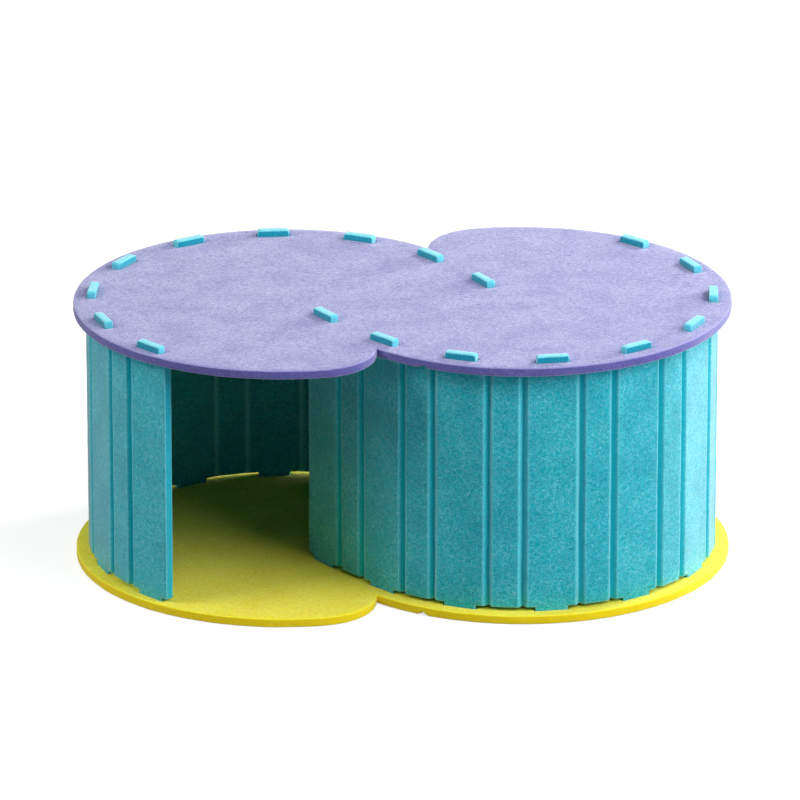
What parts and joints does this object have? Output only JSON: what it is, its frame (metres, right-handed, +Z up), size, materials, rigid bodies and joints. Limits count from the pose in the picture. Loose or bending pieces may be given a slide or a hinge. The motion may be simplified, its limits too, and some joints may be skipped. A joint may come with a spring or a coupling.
{
  "type": "cat tunnel",
  "caption": "Low cat tunnel of felt board: two grooved walls folded into open rings, slotted by tabs between figure-eight base and roof boards.",
  "frame": {"origin": "on the floor, midway between the centres of the two lobes", "axes": "+X along the tunnel's length, +Y towards the back, +Z up"},
  "size_m": [0.6584, 0.4204, 0.2763],
  "materials": {
    "base_felt": "matt needled felt board, lemon yellow",
    "wall_felt": "matt needled felt board, heathered turquoise",
    "roof_felt": "matt needled felt board, heathered lavender"
  },
  "bodies": {
    "base": {"base_board": "base_felt"},
    "left_wall": {"left_wall": "wall_felt"},
    "right_wall": {"right_wall": "wall_felt"},
    "roof": {"roof_board": "roof_felt"}
  },
  "joints": [
    {"name": "left_wall_lift", "type": "slide", "parent": "base", "child": "left_wall", "axis": [0, 0, 1], "range_m": [0, 0.03]},
    {"name": "right_wall_lift", "type": "slide", "parent": "base", "child": "right_wall", "axis": [0, 0, 1], "range_m": [0, 0.03]},
    {"name": "roof_lift", "type": "slide", "parent": "left_wall", "child": "roof", "axis": [0, 0, 1], "range_m": [0, 0.05]}
  ],
  "couplings": [
    {"joint": "right_wall_lift", "follows": "left_wall_lift", "ratio": 1}
  ]
}
